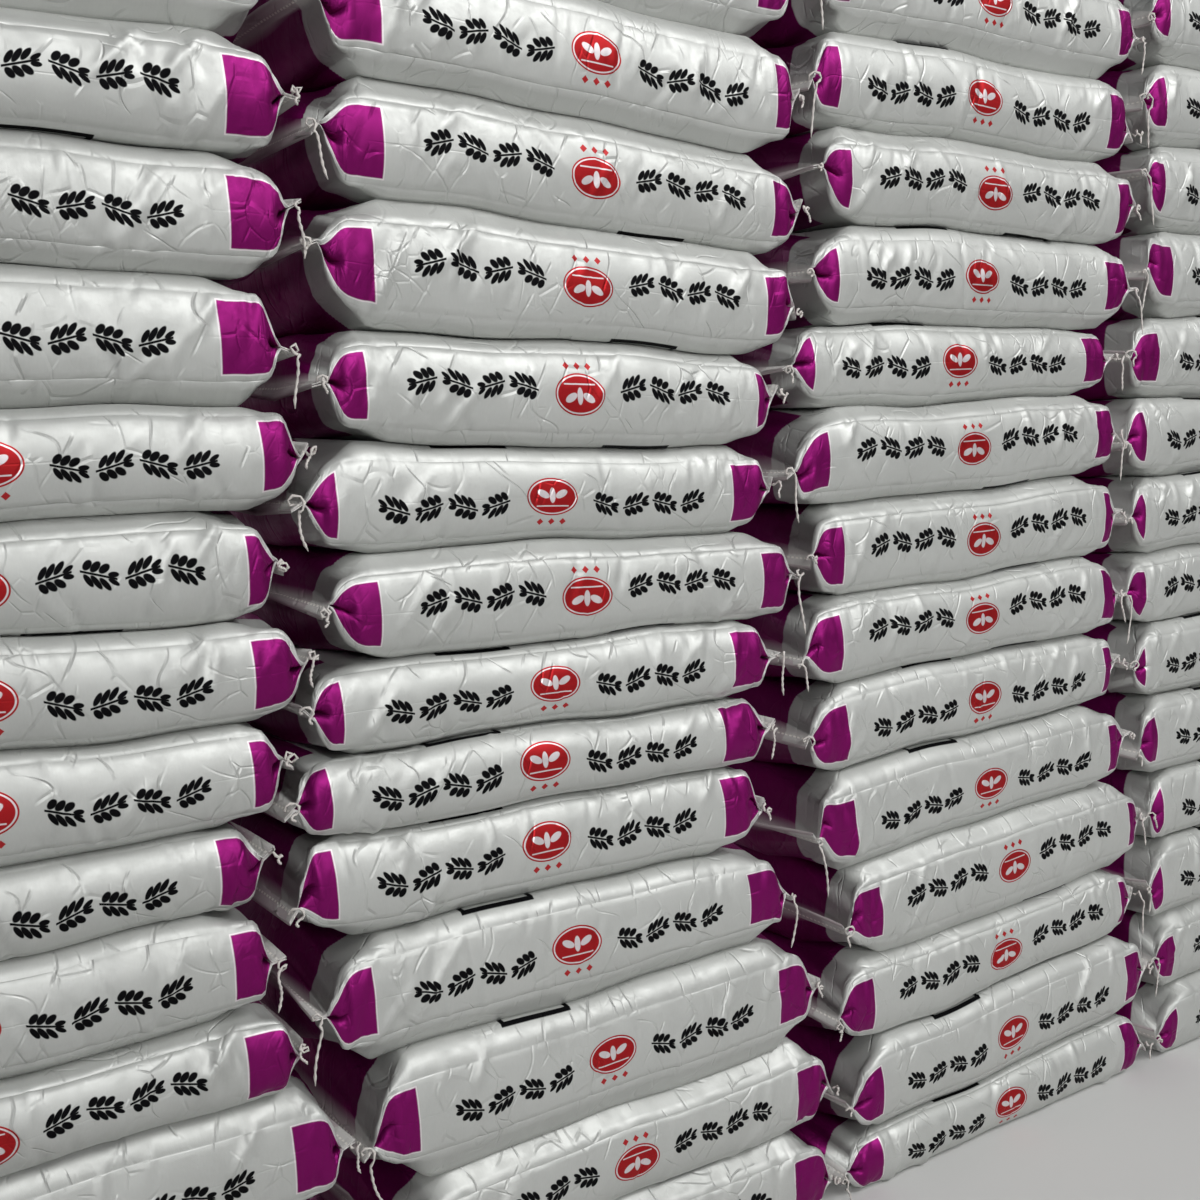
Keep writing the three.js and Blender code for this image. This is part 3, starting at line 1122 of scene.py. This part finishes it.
def add_thread_ends(column, corners, material):
    """One mesh with the thread ends at all hem corners of a column."""
    points, faces = [], []
    for number, (start, outward, forward, front_most) in enumerate(corners):
        rng = np.random.default_rng(THREAD_SEED + 100 * column + number)
        rings = thread_tail(start, outward, forward, front_most, rng)
        base = len(points)
        points.extend(rings.reshape(-1, 3).tolist())
        for i in range(TAIL_RINGS - 1):
            for k in range(THREAD_SIDES):
                a = base + i * THREAD_SIDES + k
                b = base + i * THREAD_SIDES + (k + 1) % THREAD_SIDES
                faces.append((a, b, b + THREAD_SIDES, a + THREAD_SIDES))
        faces.append(tuple(base + k for k in range(THREAD_SIDES))[::-1])
        last = base + (TAIL_RINGS - 1) * THREAD_SIDES
        faces.append(tuple(last + k for k in range(THREAD_SIDES)))
    name = f"thread_ends_c{column + 1}"
    mesh = bpy.data.meshes.new(name)
    mesh.from_pydata(points, [], faces)
    mesh.polygons.foreach_set("use_smooth", [True] * len(mesh.polygons))
    mesh.materials.append(material)
    piece = bpy.data.objects.new(name, mesh)
    bpy.context.scene.collection.objects.link(piece)
    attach(piece, "root")


# Stage

FLOOR_HALF = 12
FLOOR_STEPS = 24
FLOOR_COLOUR = (0.62, 0.62, 0.61, 1)
FLOOR_ROUGHNESS = 0.7
SKY_COLOUR = (0.85, 0.87, 0.9, 1)
SKY_STRENGTH = 0.05


def add_floor():
    mesh = bpy.data.meshes.new("floor")
    edge = np.linspace(-FLOOR_HALF, FLOOR_HALF, FLOOR_STEPS + 1)
    points = [(float(x), float(y), 0.0) for y in edge for x in edge]
    n = FLOOR_STEPS + 1
    faces = []
    for j in range(FLOOR_STEPS):
        for i in range(FLOOR_STEPS):
            a = j * n + i
            faces.append((a, a + 1, a + n + 1, a + n))
    mesh.from_pydata(points, [], faces)
    material = bpy.data.materials.new("studio_floor")
    material.use_nodes = True
    shader = material.node_tree.nodes["Principled BSDF"]
    shader.inputs["Base Color"].default_value = FLOOR_COLOUR
    shader.inputs["Roughness"].default_value = FLOOR_ROUGHNESS
    mesh.materials.append(material)
    floor = bpy.data.objects.new("studio_floor", mesh)
    bpy.context.scene.collection.objects.link(floor)


def add_light(name, place, target, size, power, spread=180):
    data = bpy.data.lights.new(name, "AREA")
    data.shape = "RECTANGLE"
    data.size, data.size_y = size
    data.energy = power
    data.spread = math.radians(spread)
    lamp = bpy.data.objects.new(name, data)
    bpy.context.scene.collection.objects.link(lamp)
    lamp.location = place
    aim = Vector(target) - Vector(place)
    lamp.rotation_euler = aim.to_track_quat("-Z", "Y").to_euler()


# Build

add_camera(body_lines("sack_c2_01")["line"])
film = printed_film()
hem_corners = [[] for _ in range(COLUMNS)]
for column in range(COLUMNS):
    for layer in range(LAYERS):
        node = f"sack_c{column + 1}_{layer + 1:02d}"
        turned = TURNED[column][layer] == "1"
        on_top = layer == LAYERS - 1
        rng = np.random.default_rng(SACK_SEED + 20 * column + layer)
        line = body_lines(node)
        flat_steps = FLAT_STEPS_OUTER if column in (0, COLUMNS - 1) else FLAT_STEPS_INNER
        if on_top:
            flat_steps = FLAT_STEPS_TOP
        core = sack_core(line, column, layer, turned, flat_steps, rng)
        points = drape(core, rng, on_top)
        front_crease, back_crease = core["creases"][:2]
        centre = line["line"] + PRINT_CENTRES[column][layer] / 1000
        u_of = core["points"][:, front_crease + EDGE_STEPS, 0] - centre
        if turned:
            u_of = -u_of
        piece = sack_mesh(node + "_bag", points, face_cloth(core, turned), u_of, core, film)
        for i, outward in ((2, -1), (-3, 1)):
            at_front = (points[i, front_crease], outward, -1, CAD_BOX[0][1])
            at_back = (points[i, back_crease], outward, 1, CAD_BOX[1][1])
            hem_corners[column] += [at_front, at_back]
        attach(piece, "root")
        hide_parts(node)

thread = thread_material()
for column in range(COLUMNS):
    add_thread_ends(column, hem_corners[column], thread)

add_floor()
add_light("key", place=(1.8, -3.7, 4.6), target=(0.3, 0, 0.9), size=(3.6, 2.0), power=190)
add_light(
    "fill", place=(-1.6, -4.9, 2.6), target=(0.7, 0, 0.9), size=(2.6, 1.6), power=28, spread=80
)
add_light("back", place=(1.5, 4.4, 2.5), target=(0, 0, 0.9), size=(3.4, 2.4), power=150)
world = bpy.data.worlds.new("studio")
world.use_nodes = True
world.node_tree.nodes["Background"].inputs[0].default_value = SKY_COLOUR
world.node_tree.nodes["Background"].inputs[1].default_value = SKY_STRENGTH
bpy.context.scene.world = world
bpy.context.scene.view_settings.view_transform = "Standard"
